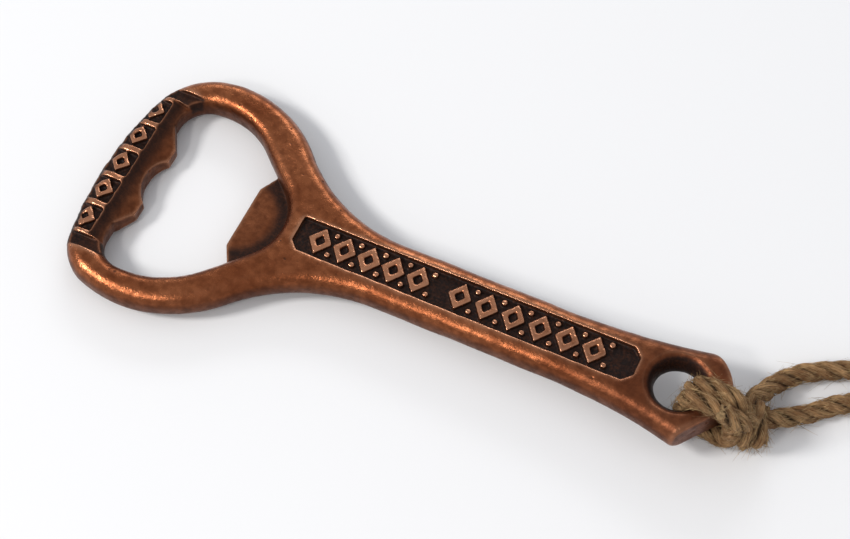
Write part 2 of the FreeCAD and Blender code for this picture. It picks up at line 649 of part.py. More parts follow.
def tube(path, diameter):
    """Round tube along a wire."""
    first = path.Edges[0]
    start = first.valueAt(first.FirstParameter)
    section = Part.Wire(Part.makeCircle(diameter / 2, start, first.tangentAt(first.FirstParameter)))
    return path.makePipeShell([section], True, True)


def add_piece(label, shape):
    """Sub-part whose shape is made here from sheet values."""
    piece = doc.addObject("Part::Feature", label)
    piece.Label = label
    piece.Shape = shape
    return piece


strand = size("twine_diameter")
standing_off = size("turn_clearance") + strand / 2
turn_outer = size("tail_radius") + standing_off
turn_low = -standing_off
turn_high = size("casting_thickness") + standing_off
direction = math.radians(size("turn_direction"))


def beside_hole(radial, sideways, height):
    """Point placed from the hole's axis along and across the direction of the turns."""
    x = size("hole_centre") + radial * math.cos(direction) - sideways * math.sin(direction)
    y = radial * math.sin(direction) + sideways * math.cos(direction)
    return on_casting(x, y, height)


def turn(sideways):
    """One closed turn of twine through the hole and round the tail's end wall."""
    corner = size("turn_corner")
    corners = [(size("turn_inner"), turn_low, 1, 1), (turn_outer, turn_low, -1, 1),
               (turn_outer, turn_high, -1, -1), (size("turn_inner"), turn_high, 1, -1)]
    edges = []
    for i, (radial, height, inward, upward) in enumerate(corners):
        along = beside_hole(radial + inward * corner, sideways, height)
        across = beside_hole(radial, sideways, height + upward * corner)
        bulge = corner * (1 - math.sqrt(0.5))
        middle = beside_hole(radial + inward * bulge, sideways, height + upward * bulge)
        ends = (across, along) if i % 2 == 0 else (along, across)
        if edges:
            edges.append(Part.LineSegment(edges[-1].valueAt(edges[-1].LastParameter), ends[0]).toShape())
        edges.append(Part.Arc(ends[0], middle, ends[1]).toShape())
    edges.append(Part.LineSegment(edges[-1].valueAt(edges[-1].LastParameter),
                                  edges[0].valueAt(edges[0].FirstParameter)).toShape())
    return tube(Part.Wire(edges), strand)


both_turns = [turn(side * size("turn_spacing") / 2) for side in (1, -1)]
turns = add_piece("twine_turns", Part.makeCompound(both_turns))

# Knot just outside the tail end: a flattened lump, broader than long.
knot_body = doc.addObject("Part::Ellipsoid", "twine_knot")
knot_body.Label = "twine_knot"
knot_body.setExpression("Radius1", "dimensions.knot_half_height")
knot_body.setExpression("Radius2", "dimensions.knot_half_length")
knot_body.setExpression("Radius3", "dimensions.knot_half_width")
knot_heading = FreeCAD.Rotation(Z_AXIS, size("knot_direction"))
knot_centre = V(size("knot_x"), size("knot_y"), size("knot_half_height") + FLOOR_GAP)
knot_body.Placement = FreeCAD.Placement(knot_centre, knot_heading)

# Loop: out of the knot, along the surface, round the bight and back, with both ends in the knot.
LOOP_ROUTE = [
    V(58.9, 4.0, 5.2), V(60.4, 8.8, 3.0), V(63.6, 13.5, 1.8), V(70.2, 17.5, 1.65),
    V(78.0, 20.4, 1.65), V(86.3, 25.0, 1.65), V(97.2, 37.2, 1.65), V(105.0, 41.0, 1.65),
    V(113.0, 38.2, 1.65), V(116.8, 30.4, 1.65), V(114.2, 22.8, 1.65), V(106.3, 19.6, 1.65),
    V(89.0, 19.8, 1.65), V(72.5, 12.6, 1.65), V(66.2, 5.8, 1.75),
    V(59.9, 1.8, 3.2),
]
loop_path, loop_radii = smooth_path(LOOP_ROUTE)
loop = add_piece("twine_loop", tube(loop_path, strand))
section = math.pi * strand ** 2 / 4
print("loop radii", [round(radius, 1) for radius in loop_radii], "length", round(loop_path.Length, 1))
print("loop volume over section times length", round(loop.Shape.Volume / (section * loop_path.Length), 4))

# ---------------------------------------------------------------- checks and files
doc.recompute()
for item in doc.Objects:
    broken = [state for state in item.State if state in ("Invalid", "Error")]
    if broken:
        raise RuntimeError(f"{item.Name} is {broken}")
pieces = [casting, turns, knot_body, loop]
for piece in pieces:
    if piece.Shape.isNull() or not piece.Shape.isValid():
        raise RuntimeError(f"{piece.Label} has no valid shape")
    box = piece.Shape.optimalBoundingBox()
    print(piece.Label, "volume", round(piece.Shape.Volume, 1), "solids", len(piece.Shape.Solids),
          [round(limit, 2) for limit in (box.XMin, box.XMax, box.YMin, box.YMax, box.ZMin, box.ZMax)])

os.makedirs("parts", exist_ok=True)
for piece in pieces:
    piece.Shape.exportStep(f"parts/{piece.Label}.step")
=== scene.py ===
"""Copper bottle opener with a jute twine loop, lying on a pale studio floor.

Metres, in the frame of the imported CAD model. The twine and the masks on the casting are worked
out in millimetres, and MM turns a length in millimetres into metres.
"""
import json
import math
from itertools import count

import bpy
import numpy as np
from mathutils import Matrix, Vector


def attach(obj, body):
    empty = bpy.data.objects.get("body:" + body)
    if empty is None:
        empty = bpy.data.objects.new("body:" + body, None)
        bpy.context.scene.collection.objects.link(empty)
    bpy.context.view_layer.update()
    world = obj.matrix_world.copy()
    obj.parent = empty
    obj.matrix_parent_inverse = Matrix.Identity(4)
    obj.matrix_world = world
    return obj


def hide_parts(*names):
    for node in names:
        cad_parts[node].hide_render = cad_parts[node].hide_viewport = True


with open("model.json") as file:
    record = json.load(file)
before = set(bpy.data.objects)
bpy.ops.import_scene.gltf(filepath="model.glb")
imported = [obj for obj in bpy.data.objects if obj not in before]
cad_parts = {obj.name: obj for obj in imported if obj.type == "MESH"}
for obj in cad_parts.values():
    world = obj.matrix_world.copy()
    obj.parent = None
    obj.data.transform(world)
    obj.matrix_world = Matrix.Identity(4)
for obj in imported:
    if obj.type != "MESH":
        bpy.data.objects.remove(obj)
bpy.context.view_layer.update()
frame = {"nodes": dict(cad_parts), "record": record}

MM = 0.001
SCENE = bpy.context.scene
SEED = 4127


# ---------------------------------------------------------------- small helpers
def link(obj):
    SCENE.collection.objects.link(obj)
    return obj


def unit(v):
    """Vectors with their length made 1."""
    return v / np.maximum(np.linalg.norm(v, axis=-1, keepdims=True), 1e-12)


def mesh_object(name, points, faces, smooth=True):
    """Object from an array of points in metres and a list of faces."""
    mesh = bpy.data.meshes.new(name)
    mesh.from_pydata(np.asarray(points).tolist(), [], faces)
    mesh.update()
    if smooth:
        mesh.polygons.foreach_set("use_smooth", [True] * len(mesh.polygons))
    return link(bpy.data.objects.new(name, mesh))


def points_of(mesh):
    flat = np.empty(len(mesh.vertices) * 3, np.float32)
    mesh.vertices.foreach_get("co", flat)
    return flat.reshape(-1, 3).astype(float)


def normals_of(mesh):
    flat = np.empty(len(mesh.vertices) * 3, np.float32)
    mesh.vertex_normals.foreach_get("vector", flat)
    return flat.reshape(-1, 3).astype(float)


def put_points(mesh, points):
    mesh.vertices.foreach_set("co", points.astype(np.float32).ravel())
    mesh.update()


def add_layer(mesh, name, values):
    """Float value per vertex, for the material to read."""
    layer = mesh.attributes.new(name, "FLOAT", "POINT")
    layer.data.foreach_set("value", np.asarray(values, np.float32))


def step(low, high, x):
    """Smooth step from 0 at low to 1 at high."""
    f = np.clip((x - low) / (high - low), 0, 1)
    return f * f * (3 - 2 * f)


class Grain:
    """Smooth random field in space, between -1 and 1, the same each run."""
    SIDE = 48

    def __init__(self, seed):
        self.table = np.random.default_rng(seed).uniform(-1, 1, (self.SIDE,) * 3)

    def __call__(self, points, scale):
        p = points / scale
        low = np.floor(p).astype(int)
        f = p - low
        f = f * f * (3 - 2 * f)
        total = np.zeros(len(p))
        for corner in range(8):
            shift = np.array([corner & 1, corner >> 1 & 1, corner >> 2 & 1])
            cell = (low + shift) % self.SIDE
            weight = np.prod(np.where(shift == 1, f, 1 - f), axis=1)
            total += weight * self.table[cell[:, 0], cell[:, 1], cell[:, 2]]
        return total


# ---------------------------------------------------------------- camera, light and floor
CAMERA_AZIMUTH = math.radians(25.53)
CAMERA_ELEVATION = math.radians(60.4)
CAMERA_DISTANCE = 335.5 * MM
CAMERA_TARGET = Vector((0.6 * MM, 5.8 * MM, 0))
SENSOR_WIDTH = 36
FOCAL_LENGTH = 85.26
SKY_COLOUR = (0.945, 0.96, 1.0, 1)
SKY_STRENGTH = 0.60
PAPER_COLOUR = (0.845, 0.845, 0.85, 1)
PAPER_ROUGHNESS = 0.85
FLOOR_REACH = 3
# Name, place, the point it faces, width, height, watts and colour of each light.
LIGHTS = [
    ("key", (-0.90, -0.62, 1.00), (0, 0, 0), 0.30, 0.30, 11.8, (1.0, 0.985, 0.965)),
    ("front", (-0.16, -0.52, 0.56), (0, 0, 0), 0.10, 0.10, 1.0, (1.0, 0.97, 0.93)),
    ("back", (-0.20, 0.85, 0.50), (0.05, 0.25, 0), 0.60, 0.20, 1.7, (0.93, 0.97, 1.0)),
]


def make_camera():
    """Long lens, 60 degrees above the table, looking across the handle."""
    level_share = math.cos(CAMERA_ELEVATION)
    back = Vector((math.sin(CAMERA_AZIMUTH) * level_share, -math.cos(CAMERA_AZIMUTH) * level_share,
                   math.sin(CAMERA_ELEVATION)))
    data = bpy.data.cameras.new("camera")
    data.sensor_width = SENSOR_WIDTH
    data.lens = FOCAL_LENGTH
    data.clip_start = 0.01
    camera = link(bpy.data.objects.new("camera", data))
    camera.location = CAMERA_TARGET + back * CAMERA_DISTANCE
    camera.rotation_mode = "QUATERNION"
    camera.rotation_quaternion = (-back).to_track_quat("-Z", "Y")
    SCENE.camera = camera


def soft_light(name, place, target, width, height, watts, colour):
    data = bpy.data.lights.new(name, "AREA")
    data.shape = "RECTANGLE"
    data.size, data.size_y = width, height
    data.energy = watts
    data.color = colour
    light = link(bpy.data.objects.new(name, data))
    light.location = place
    light.rotation_mode = "QUATERNION"
    light.rotation_quaternion = (Vector(target) - Vector(place)).to_track_quat("-Z", "Y")


def make_studio():
    """White table under a pale sky: a strong key light, a small front light and a wide low back light."""
    SCENE.view_settings.view_transform = "Standard"
    SCENE.view_settings.look = "None"
    world = bpy.data.worlds.new("studio")
    world.use_nodes = True
    sky = world.node_tree.nodes["Background"]
    sky.inputs["Color"].default_value = SKY_COLOUR
    sky.inputs["Strength"].default_value = SKY_STRENGTH
    SCENE.world = world
    for light in LIGHTS:
        soft_light(*light)
    corners = [(FLOOR_REACH * x, FLOOR_REACH * y, 0) for x, y in ((-1, -1), (1, -1), (1, 1), (-1, 1))]
    floor = mesh_object("floor", corners, [(0, 1, 2, 3)])
    paper = bpy.data.materials.new("white_paper")
    paper.use_nodes = True
    shader = paper.node_tree.nodes["Principled BSDF"]
    shader.inputs["Base Color"].default_value = PAPER_COLOUR
    shader.inputs["Roughness"].default_value = PAPER_ROUGHNESS
    floor.data.materials.append(paper)


make_camera()
make_studio()


# ---------------------------------------------------------------- the casting's own frame
UNDERSIDE = next(mount for mount in frame["record"]["mounts"] if mount["name"] == "underside")
CAST_ORIGIN = np.array(UNDERSIDE["pos_m"])
CAST_UP = -np.array(UNDERSIDE["axis"])
CAST_ALONG = np.cross((0, 1, 0), CAST_UP)
CAST_THICKNESS = 5.6


def level(points):
    """Millimetres in the casting's own frame: along the handle, across it, up from its underside."""
    p = points - CAST_ORIGIN
    return np.stack([p @ CAST_ALONG, p[:, 1], p @ CAST_UP], axis=1) / MM


def unlevel(points):
    """Back from the casting's own frame to metres."""
    p = points * MM
    return CAST_ORIGIN + p[:, :1] * CAST_ALONG + p[:, 1:2] * (0, 1, 0) + p[:, 2:3] * CAST_UP


# ---------------------------------------------------------------- materials
NOISE_ROUGHNESS = 0.55


class Nodes:
    """Short way to write a material's node tree."""

    def __init__(self, name):
        self.material = bpy.data.materials.new(name)
        self.material.use_nodes = True
        self.tree = self.material.node_tree
        self.shader = self.tree.nodes["Principled BSDF"]

    def add(self, kind, inputs=(), **settings):
        node = self.tree.nodes.new(kind)
        for key, setting in settings.items():
            setattr(node, key, setting)
        for key, source in dict(inputs).items():
            self.feed(node.inputs[key], source)
        return node

    def feed(self, socket, source):
        if isinstance(source, bpy.types.NodeSocket):
            self.tree.links.new(source, socket)
        else:
            socket.default_value = source

    def layer(self, name):
        """A value that add_layer has put on the mesh."""
        return self.add("ShaderNodeAttribute", attribute_name=name).outputs["Fac"]

    def noise(self, scale, detail, vector=None, low=0.35, high=0.65):
        """Noise stretched to run from 0 to 1; scale is in waves per unit of the vector, or per metre."""
        where = vector or self.place()
        node = self.add("ShaderNodeTexNoise", {"Vector": where, "Scale": scale, "Detail": detail,
                                               "Roughness": NOISE_ROUGHNESS})
        return self.ramp(node.outputs["Fac"], low, high)

    def place(self):
        return self.add("ShaderNodeTexCoord").outputs["Object"]

    def ramp(self, value, low, high, to_low=0.0, to_high=1.0):
        node = self.add("ShaderNodeMapRange", {"Value": value, "From Min": low, "From Max": high,
                                               "To Min": to_low, "To Max": to_high})
        node.clamp = True
        return node.outputs["Result"]

    def math(self, operation, a, b, clamp=False):
        node = self.add("ShaderNodeMath", {0: a, 1: b}, operation=operation)
        node.use_clamp = clamp
        return node.outputs[0]

    def mix(self, factor, a, b):
        node = self.tree.nodes.new("ShaderNodeMix")
        node.data_type = "RGBA"
        self.feed(node.inputs[0], factor)
        self.feed(node.inputs[6], a)
        self.feed(node.inputs[7], b)
        return node.outputs[2]

    def over(self, colour, mask, share, paint):
        """The colour with paint laid over it where the mask is, never by more than the share."""
        return self.mix(self.math("MULTIPLY", mask, share), colour, paint)

    def bump(self, height, distance, strength=1.0, normal=None):
        inputs = {"Height": height, "Distance": distance, "Strength": strength}
        if normal:
            inputs["Normal"] = normal
        return self.add("ShaderNodeBump", inputs).outputs["Normal"]


# ---------------------------------------------------------------- twine: strands
TWINE_RADIUS = 1.6
PLIES = 3
PLY_RADIUS = 0.49 * TWINE_RADIUS
PLY_OFFSET = 0.53 * TWINE_RADIUS
PLY_PITCH = 9.6
FIBRE_PITCH = 15.0
RING_STEP = 0.22
RING_SIDES = 24
END_SHARES = (0.62, 0.12)
FLOOR_CLEARANCE = 0.02
# How unevenly a ply is laid: the millimetres of twine over which it wanders, the angle and the share
# of its offset by which it does, the millimetres over which it swells, and the share of its radius.
SWAY_LENGTH = 5.0
SWAY_TURN = 0.28
SWAY_OFFSET = 0.06
SWELL_LENGTH = 2.4
SWELL_SIZE = 0.07
# Places in the random field that keep the plies, and their sway and swell, apart from each other.
PLY_SHIFT = 11.0
SWELL_SHIFT = 7
FINE_SHIFT = 5
# The fibres' ridges on a ply: waves round and along it in two sizes, each size's share, and their
# height as a share of the ply's radius. A fibre changes slowly along the twine.
RIDGE_WAVES = (3.1, 3.1, 4.0)
FINE_RIDGE_WAVES = (6.3, 6.3, 7.0)
RIDGE_SHARE = 0.6
FINE_RIDGE_SHARE = 0.4
RIDGE_HEIGHT = 0.27
FIBRE_CHANGE = 0.09
# The fibres that stick out of a cut end.
BRISTLE_WAVES = (9, 9, 1)
BRISTLE_LENGTH = 0.25


def spline_points(route):
    """Points of the smooth curve whose control points are a route's points, in millimetres."""
    curve = bpy.data.curves.new("route", "CURVE")
    curve.dimensions = "3D"
    curve.resolution_u = 24
    spline = curve.splines.new("NURBS")
    spline.points.add(len(route) - 1)
    for point, (x, y, z) in zip(spline.points, route):
        point.co = (x * MM, y * MM, z * MM, 1)
    spline.order_u = 3
    spline.use_endpoint_u = True
    holder = link(bpy.data.objects.new("route", curve))
    mesh = bpy.data.meshes.new_from_object(holder)
    points = points_of(mesh) / MM
    bpy.data.objects.remove(holder)
    return points


def even_steps(points, spacing):
    """The same line with points evenly spaced along it, and each point's distance from the start."""
    lengths = np.concatenate([[0], np.cumsum(np.linalg.norm(np.diff(points, axis=0), axis=1))])
    along = np.linspace(0, lengths[-1], int(lengths[-1] / spacing) + 1)
    return np.stack([np.interp(along, lengths, column) for column in points.T], axis=1), along


def frames_along(points):
    """Tangent and two directions across a line, turned as little as possible from point to point."""
    tangents = unit(np.gradient(points, axis=0))
    # Any direction that the line doesn't start along will do here.
    side = np.cross(tangents[0], (0.3, 0.2, 0.93))
    sides = []
    for tangent in tangents:
        side = side - tangent * np.dot(side, tangent)
        side = side / np.linalg.norm(side)
        sides.append(side)
    sides = np.array(sides)
    return tangents, sides, np.cross(tangents, sides)


class Rope:
    """Twine of three plies laid round one line or more, all in one mesh."""

    def __init__(self):
        self.points, self.faces, self.fibre, self.depth, self.cut, self.lines = [], [], [], [], [], []
        self.count = 0

    def add(self, route, seed, frayed_end=False):
        """Lay the plies along a route in millimetres; a frayed end is the route's last one."""
        centre, along = even_steps(spline_points(route), RING_STEP)
        tangents, sides, ups = frames_along(centre)
        self.lines.append((centre, tangents, sides, ups))
        uneven = Grain(seed)
        for ply in range(PLIES):
            shift = PLY_SHIFT * ply
            zero = np.zeros(len(along))
            sway = uneven(np.stack([along, zero + shift, zero], axis=1), SWAY_LENGTH)
            swell = uneven(np.stack([along, zero + shift, zero + SWELL_SHIFT], axis=1), SWELL_LENGTH)
            phase = 2 * math.pi * (ply / PLIES + along / PLY_PITCH) + SWAY_TURN * sway
            outward = np.cos(phase)[:, None] * sides + np.sin(phase)[:, None] * ups
            middle = centre + outward * (PLY_OFFSET * (1 + SWAY_OFFSET * sway))[:, None]
            ply_tangents = unit(np.gradient(middle, axis=0))
            across = unit(np.cross(ply_tangents, outward))
            outward = np.cross(across, ply_tangents)
            sizes = 1 + SWELL_SIZE * swell
            frayed_towards = ply_tangents[-1] if frayed_end else None
            self.add_ply((middle, outward, across), centre, along, sizes, uneven, shift, frayed_towards)

    def add_ply(self, lay, centre, along, sizes, uneven, shift, frayed_towards):
        """Tube with a fibrous skin; lay is its middle line and two directions across that."""
        middle, outward, across = lay
        rings = len(middle)
        angles = np.linspace(0, 2 * math.pi, RING_SIDES, endpoint=False)
        # The side wall's rings come first, then two shrinking rings that close each end.
        wall = np.array(list(range(rings)) + [0, 0, rings - 1, rings - 1])
        shares = [1.0] * rings + list(END_SHARES) * 2
        order = [rings + 1, rings] + list(range(rings)) + [rings + 2, rings + 3]
        s = along[wall]
        turn = angles[None, :] + (2 * math.pi * s / FIBRE_PITCH)[:, None]
        drawn = np.broadcast_to((s * FIBRE_CHANGE + shift)[:, None], turn.shape)
        flat = np.stack([np.cos(turn), np.sin(turn), drawn], axis=2).reshape(-1, 3)
        ridges = uneven(flat * RIDGE_WAVES, 1.0) * RIDGE_SHARE
        ridges += uneven(flat * FINE_RIDGE_WAVES + FINE_SHIFT, 1.0) * FINE_RIDGE_SHARE
        rough = 1 + RIDGE_HEIGHT * ridges.reshape(turn.shape)
        radii = (PLY_RADIUS * sizes[wall] * shares)[:, None] * rough
        points = (middle[wall][:, None] + outward[wall][:, None] * (np.cos(angles) * radii)[:, :, None]
                  + across[wall][:, None] * (np.sin(angles) * radii)[:, :, None])
        reach = np.linalg.norm(points - centre[wall][:, None], axis=2) / TWINE_RADIUS
        cut = np.zeros(turn.shape)
        if frayed_towards is not None:
            bristle = uneven(flat * BRISTLE_WAVES, 1.0).reshape(turn.shape)
            end = wall == rings - 1
            points[end] += frayed_towards * (BRISTLE_LENGTH * bristle[end])[:, :, None]
            cut[rings + 2:] = 1
            cut[rings - 1] = 0.7
        points[:, :, 2] = np.maximum(points[:, :, 2], FLOOR_CLEARANCE)
        low = self.count
        for a, b in zip(order[:-1], order[1:]):
            first, second = low + a * RING_SIDES, low + b * RING_SIDES
            for i in range(RING_SIDES):
                j = (i + 1) % RING_SIDES
                self.faces.append((first + i, first + j, second + j, second + i))
        self.faces.append(tuple(low + order[0] * RING_SIDES + i for i in reversed(range(RING_SIDES))))
        self.faces.append(tuple(low + order[-1] * RING_SIDES + i for i in range(RING_SIDES)))
        self.points.append(points.reshape(-1, 3))
        self.fibre.append(flat)
        self.depth.append(np.clip(1 - reach, 0, 1).ravel())
        self.cut.append(cut.ravel())
        self.count += turn.size

    def build(self, name, material):
        piece = mesh_object(name, np.concatenate(self.points) * MM, self.faces)
        mesh = piece.data
        # The depth layer marks where painted shade goes: between the plies, well inside the twine's outer
        # radius.
        add_layer(mesh, "depth", step(0.10, 0.42, np.concatenate(self.depth)))
        add_layer(mesh, "cut", np.concatenate(self.cut))
        layer = mesh.attributes.new("fibre", "FLOAT_VECTOR", "POINT")
        layer.data.foreach_set("vector", np.concatenate(self.fibre).astype(np.float32).ravel())
        mesh.materials.append(material)
        return piece


# ---------------------------------------------------------------- twine: loose fibres
# The share that stands off the twine, and the ranges of length in millimetres and of rise, as a
# slope away from the surface, of those that stand and those that lie along it.
STANDING_SHARE = 0.05
STANDING_FIBRE = ((1.5, 4.5), (0.35, 1.0))
LYING_FIBRE = ((1.0, 3.0), (0.06, 0.34))
# Where a fibre's root lies as a share of the twine's radius, its own radius there in millimetres,
# how much thinner it is at its tip, and how far it bends.
ROOT_DEPTH = (0.80, 0.95)
HAIR_RADIUS = (0.025, 0.060)
HAIR_TAPER = 0.75
HAIR_BEND = 0.45
HAIR_RINGS = 7
HAIR_SIDES = 3


def loose_fibre(dice, place, tangent, across, up):
    """One fibre's line, its heading at the root and its radius at each ring."""
    angle = dice.uniform(0, 2 * math.pi)
    normal = math.cos(angle) * across + math.sin(angle) * up
    sideways = np.cross(normal, tangent)
    lengths, rises = STANDING_FIBRE if dice.random() < STANDING_SHARE else LYING_FIBRE
    length = dice.uniform(*lengths)
    rise = dice.uniform(*rises)
    heading = unit(tangent * dice.choice((-1, 1)) + normal * rise + sideways * dice.normal(0, 0.35))
    bend = sideways * dice.normal(0, 0.5) - normal * dice.uniform(0.0, 0.5) + tangent * dice.normal(0, 0.3)
    root = place + normal * TWINE_RADIUS * dice.uniform(*ROOT_DEPTH)
    share = np.linspace(0, 1, HAIR_RINGS)
    line = root + heading * (length * share)[:, None] + bend * (HAIR_BEND * length * share ** 2)[:, None]
    return line, heading, dice.uniform(*HAIR_RADIUS) * (1 - HAIR_TAPER * share)


def hair_faces(low):
    """Faces of one hair whose first vertex is low: its sides and its two ends."""
    faces = []
    for a in range(HAIR_RINGS - 1):
        ring, following = low + a * HAIR_SIDES, low + (a + 1) * HAIR_SIDES
        for b in range(HAIR_SIDES):
            c = (b + 1) % HAIR_SIDES
            faces.append((ring + b, ring + c, following + c, following + b))
    faces.append((low + 2, low + 1, low))
    tip = low + (HAIR_RINGS - 1) * HAIR_SIDES
    faces.append((tip, tip + 1, tip + 2))
    return faces


def fuzz(name, lines, per_mm, material, seed):
    """Fine tapered fibres that stand off or lie along the strands."""
    dice = np.random.default_rng(seed)
    points, faces = [], []
    corner_angles = 2 * math.pi * np.arange(HAIR_SIDES) / HAIR_SIDES
    for centre, tangents, across, up in lines:
        for _ in range(int(len(centre) * RING_STEP * per_mm)):
            i = dice.integers(2, len(centre) - 2)
            line, heading, radii = loose_fibre(dice, centre[i], tangents[i], across[i], up[i])
            # Any direction that the hair doesn't head along will do here.
            first = unit(np.cross(heading, (0.31, 0.52, 0.79)))
            second = np.cross(heading, first)
            corners = first * np.cos(corner_angles)[:, None] + second * np.sin(corner_angles)[:, None]
            rings = line[:, None] + corners[None] * radii[:, None, None]
            rings[:, :, 2] = np.maximum(rings[:, :, 2], FLOOR_CLEARANCE)
            faces += hair_faces(len(points) * HAIR_RINGS * HAIR_SIDES)
            points.append(rings.reshape(-1, 3))
    piece = mesh_object(name, np.concatenate(points) * MM, faces)
    piece.data.materials.append(material)
    return piece


# ---------------------------------------------------------------- twine: materials
JUTE_BROWN = (0.085, 0.034, 0.012, 1)
JUTE_TAN = (0.56, 0.300, 0.128, 1)
JUTE_STRAW = (0.86, 0.570, 0.285, 1)
JUTE_STAIN = (0.190, 0.080, 0.029, 1)
# Painted shade in the gaps between the plies.
JUTE_GAP_SHADE = (0.022, 0.010, 0.004, 1)
JUTE_CUT = (0.66, 0.44, 0.22, 1)
HAIR_BROWN = (0.14, 0.070, 0.026, 1)
HAIR_STRAW = (0.62, 0.41, 0.190, 1)


def jute_material():
    """Coarse jute: pale and brown fibres along each ply, and painted shade between the plies."""
    n = Nodes("jute_twine")
    fibre = n.add("ShaderNodeAttribute", attribute_name="fibre").outputs["Vector"]
    streak = n.noise(5.5, 3, vector=fibre, low=0.40, high=0.60)
    fine = n.noise(15, 2, vector=fibre, low=0.36, high=0.64)
    patch = n.noise(330, 4, low=0.38, high=0.60)
    colour = n.mix(streak, JUTE_BROWN, JUTE_TAN)
    colour = n.over(colour, fine, 0.60, JUTE_STRAW)
    colour = n.over(colour, patch, 0.64, JUTE_STAIN)
    # Painted shade where the surface dips towards the twine's middle, between the plies.
    colour = n.over(colour, n.layer("depth"), 0.80, JUTE_GAP_SHADE)
    colour = n.over(colour, n.layer("cut"), 0.75, JUTE_CUT)
    n.feed(n.shader.inputs["Base Color"], colour)
    n.feed(n.shader.inputs["Roughness"], 0.82)
    n.feed(n.shader.inputs["Specular IOR Level"], 0.2)
    height = n.math("ADD", n.math("MULTIPLY", streak, 0.6), n.math("MULTIPLY", fine, 0.5))
    n.feed(n.shader.inputs["Normal"], n.bump(height, 0.22 * MM))
    return n.material


def fuzz_material():
    """Single jute hairs, each somewhere between brown and straw."""
    n = Nodes("jute_fuzz")
    n.feed(n.shader.inputs["Base Color"], n.mix(n.noise(900, 2), HAIR_BROWN, HAIR_STRAW))
    n.feed(n.shader.inputs["Roughness"], 0.75)
    return n.material


# ---------------------------------------------------------------- twine: routes, in millimetres
LOOP_ROUTE = [
    (58.9, 4.0, 5.2), (60.4, 8.8, 3.0), (63.6, 13.5, 1.8), (70.2, 17.5, 1.65), (78.0, 20.4, 1.65),
    (86.3, 25.0, 1.65), (97.2, 37.2, 1.65), (105.0, 41.0, 1.65), (113.0, 38.2, 1.65), (116.8, 30.4, 1.65),
    (114.2, 22.8, 1.65), (106.3, 19.6, 1.65), (89.0, 19.8, 1.65), (72.5, 12.6, 1.65), (66.2, 5.8, 1.75),
    (59.9, 1.8, 3.2),
]
HOLE_X = 47.6
TURN_DIRECTION = math.radians(-5)
# A turn seen from the side: from the hole's axis outwards, and up from the casting's underside.
TURN_PROFILE = [
    (10.4, 3.4), (10.7, -0.6), (9.3, -2.0), (5.5, -2.0), (3.1, -1.95), (1.7, -0.9), (1.9, 2.6), (2.7, 4.9),
    (4.0, 6.5), (6.3, 7.2), (9.2, 7.1), (10.8, 5.8), (10.3, 2.6),
]
# Each turn's distance to the side, in the hole and on top of the tail.
TURNS = [(1.25, 0.9), (-1.45, -2.0)]
# A turn starts to drift sideways this far from the hole's axis, takes this long over it, and drifts
# only LOW_DRIFT as much where it is no higher than LOW_HEIGHT.
DRIFT_START = 1
DRIFT_LENGTH = 9
LOW_HEIGHT = 3
LOW_DRIFT = 0.3
KNOT_CENTRE = np.array([59.9, 1.2, 4.05])
KNOT_HEADING = math.radians(24)
WRAP_POINTS_PER_TURN = 9
UPPER_CUT_END = [
    (59.8, 0.8, 5.5), (59.6, -1.4, 8.2), (58.7, -3.0, 10.4), (57.1, -3.8, 11.9), (55.7, -3.7, 13.0),
]
LOWER_CUT_END = [(60.9, 1.4, 4.2), (60.8, -0.4, 3.4), (60.1, -1.5, 2.9), (59.2, -2.3, 2.5)]
LOOP_HAIRS_PER_MM = 18
KNOT_HAIRS_PER_MM = 24


def turn_route(in_hole, on_top):
    """One turn through the hole and round the tail; it drifts sideways from in_hole to on_top."""
    route = []
    for radial, height in TURN_PROFILE:
        share = min(max((radial - DRIFT_START) / DRIFT_LENGTH, 0), 1)
        if height <= LOW_HEIGHT:
            share *= LOW_DRIFT
        sideways = in_hole + (on_top - in_hole) * share
        x = HOLE_X + radial * math.cos(TURN_DIRECTION) - sideways * math.sin(TURN_DIRECTION)
        y = radial * math.sin(TURN_DIRECTION) + sideways * math.cos(TURN_DIRECTION)
        route.append((x, y, height))
    return (unlevel(np.array(route)) / MM).tolist()


def wrap_route(turns, advance, half_width, half_height, start):
    """Coil round the strands that leave the knot."""
    ahead = np.array([math.cos(KNOT_HEADING), math.sin(KNOT_HEADING), 0])
    across = np.array([-math.sin(KNOT_HEADING), math.cos(KNOT_HEADING), 0])
    route = []
    points = int(turns * WRAP_POINTS_PER_TURN) + 1
    for i in range(points):
        share = i / (points - 1)
        angle = start + 2 * math.pi * turns * share
        route.append(KNOT_CENTRE + ahead * advance * (share - 0.5) + across * half_width * math.cos(angle)
                     + np.array([0, 0, half_height * math.sin(angle)]))
    return [tuple(point) for point in route]


def make_twine():
    """The loop, the turns and the knot with its cut ends, and their hairs."""
    jute, hair = jute_material(), fuzz_material()
    seeds = count(SEED + 21)
    loop, turns, knot = Rope(), Rope(), Rope()
    loop.add(LOOP_ROUTE, next(seeds))
    for in_hole, on_top in TURNS:
        turns.add(turn_route(in_hole, on_top), next(seeds))
    wrap = wrap_route(turns=1.75, advance=3.4, half_width=3.2, half_height=2.35, start=1.2)
    knot.add(wrap, next(seeds))
    knot.add(UPPER_CUT_END, next(seeds), frayed_end=True)
    knot.add(LOWER_CUT_END, next(seeds), frayed_end=True)

    strand = loop.build("loop_strand", jute)
    turn_piece = turns.build("turn_strands", jute)
    knot_piece = knot.build("knot_strands", jute)
    loop_hair = fuzz("loop_fuzz", loop.lines, LOOP_HAIRS_PER_MM, hair, next(seeds))
    knot_hair = fuzz("knot_fuzz", turns.lines + knot.lines, KNOT_HAIRS_PER_MM, hair, next(seeds))

    centreline = even_steps(spline_points(LOOP_ROUTE), 1.0)[0] * MM
    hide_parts("twine_loop")
    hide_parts("twine_turns")
    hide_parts("twine_knot")
    for piece in (strand, turn_piece, knot_piece, loop_hair, knot_hair):
        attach(piece, "twine")


make_twine()


# ---------------------------------------------------------------- casting: its net
VOXEL = 0.17
TRIANGLE_LIMIT = 194000
